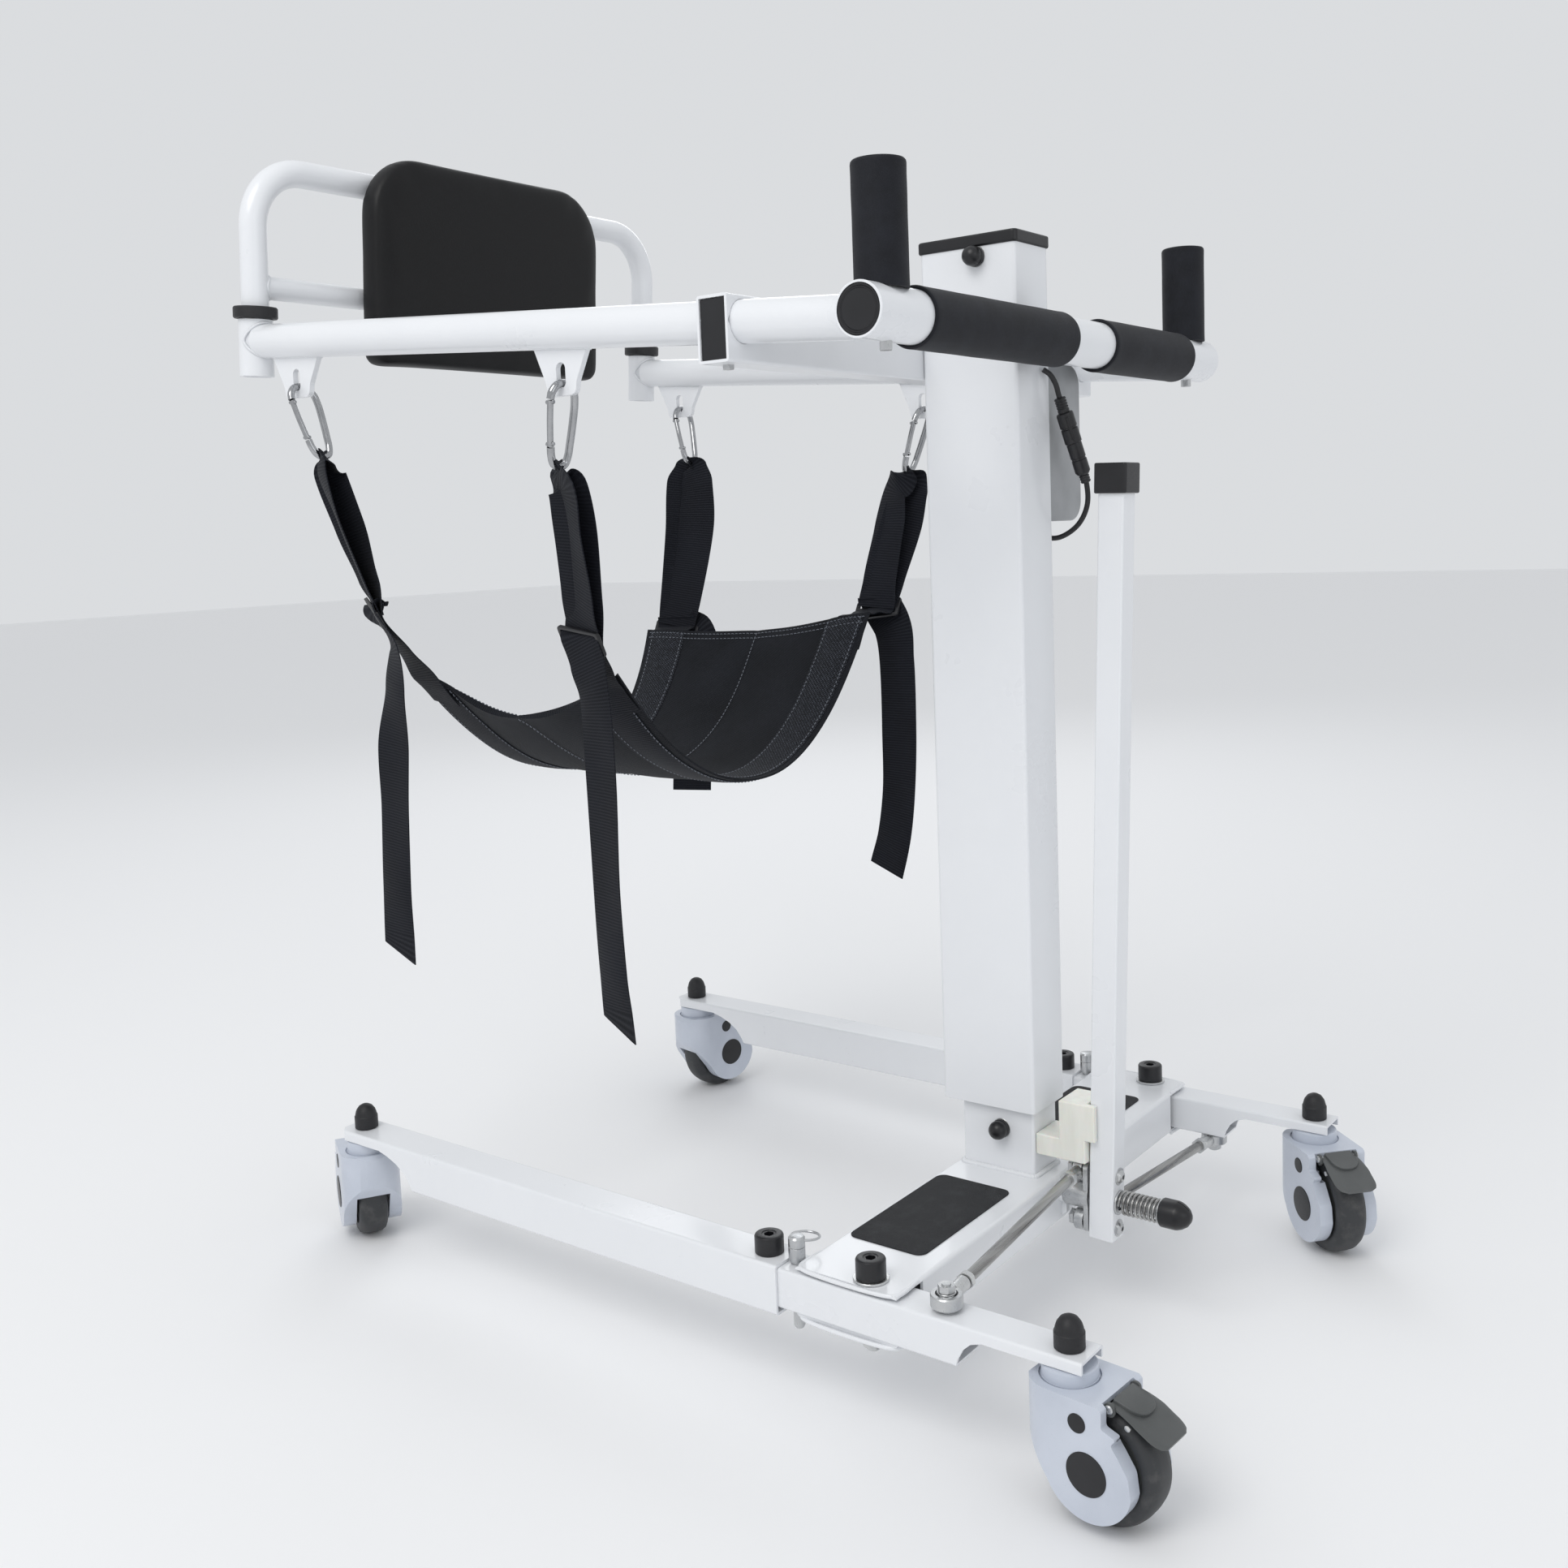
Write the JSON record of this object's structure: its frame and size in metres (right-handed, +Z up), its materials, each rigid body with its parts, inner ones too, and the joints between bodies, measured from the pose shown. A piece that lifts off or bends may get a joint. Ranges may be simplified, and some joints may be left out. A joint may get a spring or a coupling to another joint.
{
  "type": "patient lift hoist",
  "caption": "Wheeled patient lift hoist: spreading leg base with lever, telescoping mast, U-shaped arms with handles, backrest and a strapped sling seat.",
  "frame": {"origin": "on the floor under the centre of the bounding box", "axes": "+Z up, -Y towards the open front with the backrest, +Y towards the push handles, +X towards the near leg"},
  "size_m": [0.6776, 1.0266, 1.183],
  "materials": {
    "white_coat": "gloss powder coat",
    "zinc": "zinc plate",
    "chrome": "bright chrome",
    "black_plastic": "moulded, satin",
    "black_rubber": "moulded, matt",
    "foam": "closed-cell foam, matt",
    "vinyl": "moulded skin, matt",
    "fabric": "woven nylon",
    "grey_plastic": "moulded, satin",
    "caster_grey": "moulded, gloss",
    "tyre": "soft rubber",
    "nylon": "translucent, satin",
    "actuator_black": "satin",
    "box_grey": "satin",
    "cable": "matt"
  },
  "bodies": {
    "base": {"base_crossbeam": "white_coat", "mast_inner_tube": "white_coat", "near_pivot_bolt": "zinc", "far_pivot_bolt": "zinc", "lever_pivot_bolt": "black_plastic", "lever_spring": "zinc", "lever_stop_block": "nylon", "mast_lower_bolt": "black_plastic", "actuator_body": "actuator_black"},
    "lever_swivel": {"lever_hub": "zinc"},
    "lever": {"leg_lever": "white_coat", "lever_cap": "black_plastic"},
    "near_rod": {"near_tie_rod": "zinc"},
    "far_rod": {"far_tie_rod": "zinc"},
    "carriage": {"mast_outer_tube": "white_coat", "mast_cap": "black_plastic", "mast_upper_bolt": "black_plastic", "actuator_rod": "chrome", "control_box": "box_grey", "control_cable": "cable", "arm_crossbar": "white_coat", "near_side_arm": "white_coat", "far_side_arm": "white_coat", "handle_bar": "white_coat", "near_foam_grip": "foam", "far_foam_grip": "foam", "near_post_grip": "foam", "far_post_grip": "foam", "near_front_carabiner": "chrome", "near_rear_carabiner": "chrome", "far_front_carabiner": "chrome", "far_rear_carabiner": "chrome"},
    "backrest": {"backrest_frame": "white_coat", "backrest_pad": "vinyl"},
    "sling": {"sling_seat": "fabric", "near_front_strap": "fabric", "near_rear_strap": "fabric", "far_front_strap": "fabric", "far_rear_strap": "fabric"},
    "near_leg": {"near_leg_stub": "white_coat", "near_front_leg": "white_coat", "near_front_caster_stem": "black_rubber", "near_rear_caster_stem": "black_rubber"},
    "far_leg": {"far_leg_stub": "white_coat", "far_front_leg": "white_coat", "far_front_caster_stem": "black_rubber", "far_rear_caster_stem": "black_rubber"},
    "near_front_swivel": {"near_front_caster_fork": "caster_grey"},
    "near_front_wheel": {"near_front_caster_wheel": "tyre"},
    "far_front_swivel": {"far_front_caster_fork": "caster_grey"},
    "far_front_wheel": {"far_front_caster_wheel": "tyre"},
    "near_rear_swivel": {"near_rear_caster_fork": "caster_grey"},
    "near_rear_wheel": {"near_rear_caster_wheel": "tyre"},
    "near_rear_pedal": {"near_rear_caster_brake_pedal": "grey_plastic"},
    "far_rear_swivel": {"far_rear_caster_fork": "caster_grey"},
    "far_rear_wheel": {"far_rear_caster_wheel": "tyre"},
    "far_rear_pedal": {"far_rear_caster_brake_pedal": "grey_plastic"},
    "near_pin": {"near_lock_pin": "zinc"},
    "far_pin": {"far_lock_pin": "zinc"}
  },
  "joints": [
    {"name": "mast_lift", "type": "slide", "parent": "base", "child": "carriage", "axis": [0, 0, 1], "range_m": [0, 0.3]},
    {"name": "lever_swing", "type": "hinge", "parent": "base", "child": "lever_swivel", "pos_m": [0.01986, 0.29188, 0.118], "axis": [0, -1, 0], "range_deg": [0, 30]},
    {"name": "near_leg_open", "type": "hinge", "parent": "base", "child": "near_leg", "pos_m": [0.29685, 0.23688, 0.108], "axis": [0, 0, 1], "range_deg": [0, 10]},
    {"name": "far_leg_open", "type": "hinge", "parent": "base", "child": "far_leg", "pos_m": [-0.25715, 0.23688, 0.108], "axis": [0, 0, -1], "range_deg": [0, 10]},
    {"name": "near_rod_turn", "type": "hinge", "parent": "lever_swivel", "child": "near_rod", "pos_m": [0.01986, 0.29188, 0.1435], "axis": [0, -1, 0], "range_deg": [-30, 0]},
    {"name": "far_rod_turn", "type": "hinge", "parent": "lever_swivel", "child": "far_rod", "pos_m": [0.01986, 0.29188, 0.0925], "axis": [0, -1, 0], "range_deg": [-30, 0]},
    {"name": "lever_tilt", "type": "hinge", "parent": "lever_swivel", "child": "lever", "pos_m": [0.01986, 0.30408, 0.084], "axis": [-1, 0, 0], "range_deg": [0, 6], "stiffness_Nm_per_rad": 40, "springref_deg": -5.73, "deforming": ["lever_spring"]},
    {"name": "near_front_swivel_turn", "type": "hinge", "parent": "near_leg", "child": "near_front_swivel", "pos_m": [0.29685, -0.42812, 0.11], "axis": [0, 0, 1], "continuous": true},
    {"name": "near_front_wheel_roll", "type": "hinge", "parent": "near_front_swivel", "child": "near_front_wheel", "pos_m": [0.28053, -0.45529, 0.05], "axis": [0.8572, -0.515, 0], "continuous": true},
    {"name": "far_front_swivel_turn", "type": "hinge", "parent": "far_leg", "child": "far_front_swivel", "pos_m": [-0.25715, -0.42812, 0.11], "axis": [0, 0, 1], "continuous": true},
    {"name": "far_front_wheel_roll", "type": "hinge", "parent": "far_front_swivel", "child": "far_front_wheel", "pos_m": [-0.28831, -0.42234, 0.05], "axis": [-0.1822, -0.9833, 0], "continuous": true},
    {"name": "near_rear_swivel_turn", "type": "hinge", "parent": "near_leg", "child": "near_rear_swivel", "pos_m": [0.29685, 0.42088, 0.11], "axis": [0, 0, 1], "continuous": true},
    {"name": "near_rear_wheel_roll", "type": "hinge", "parent": "near_rear_swivel", "child": "near_rear_wheel", "pos_m": [0.29945, 0.45247, 0.05], "axis": [-0.9966, 0.0819, 0], "continuous": true},
    {"name": "near_rear_brake_press", "type": "hinge", "parent": "near_rear_swivel", "child": "near_rear_pedal", "pos_m": [0.30062, 0.46673, 0.1018], "axis": [-0.9966, 0.0819, 0], "range_deg": [0, 10]},
    {"name": "far_rear_swivel_turn", "type": "hinge", "parent": "far_leg", "child": "far_rear_swivel", "pos_m": [-0.25715, 0.42088, 0.11], "axis": [0, 0, 1], "continuous": true},
    {"name": "far_rear_wheel_roll", "type": "hinge", "parent": "far_rear_swivel", "child": "far_rear_wheel", "pos_m": [-0.23569, 0.44421, 0.05], "axis": [-0.7361, 0.6769, 0], "continuous": true},
    {"name": "far_rear_brake_press", "type": "hinge", "parent": "far_rear_swivel", "child": "far_rear_pedal", "pos_m": [-0.22601, 0.45474, 0.1018], "axis": [-0.7361, 0.6769, 0], "range_deg": [0, 10]},
    {"name": "near_pin_pull", "type": "slide", "parent": "near_leg", "child": "near_pin", "axis": [0, 0, 1], "range_m": [0, 0.06]},
    {"name": "far_pin_pull", "type": "slide", "parent": "far_leg", "child": "far_pin", "axis": [0, 0, 1], "range_m": [0, 0.06]},
    {"name": "backrest_lift", "type": "slide", "parent": "carriage", "child": "backrest", "axis": [0, 0.0756, 0.9971], "range_m": [0, 0.12]},
    {"name": "sling_sway", "type": "slide", "parent": "carriage", "child": "sling", "axis": [0, 1, 0], "range_m": [-0.04, 0.04], "stiffness_N_per_m": 60, "deforming": ["near_front_strap", "near_rear_strap", "far_front_strap", "far_rear_strap"]}
  ],
  "couplings": [
    {"joint": "near_leg_open", "follows": "lever_swing", "ratio": 0.3307},
    {"joint": "far_leg_open", "follows": "lever_swing", "ratio": 0.3307},
    {"joint": "near_rod_turn", "follows": "lever_swing", "ratio": -0.97643},
    {"joint": "far_rod_turn", "follows": "lever_swing", "ratio": -0.97643}
  ]
}
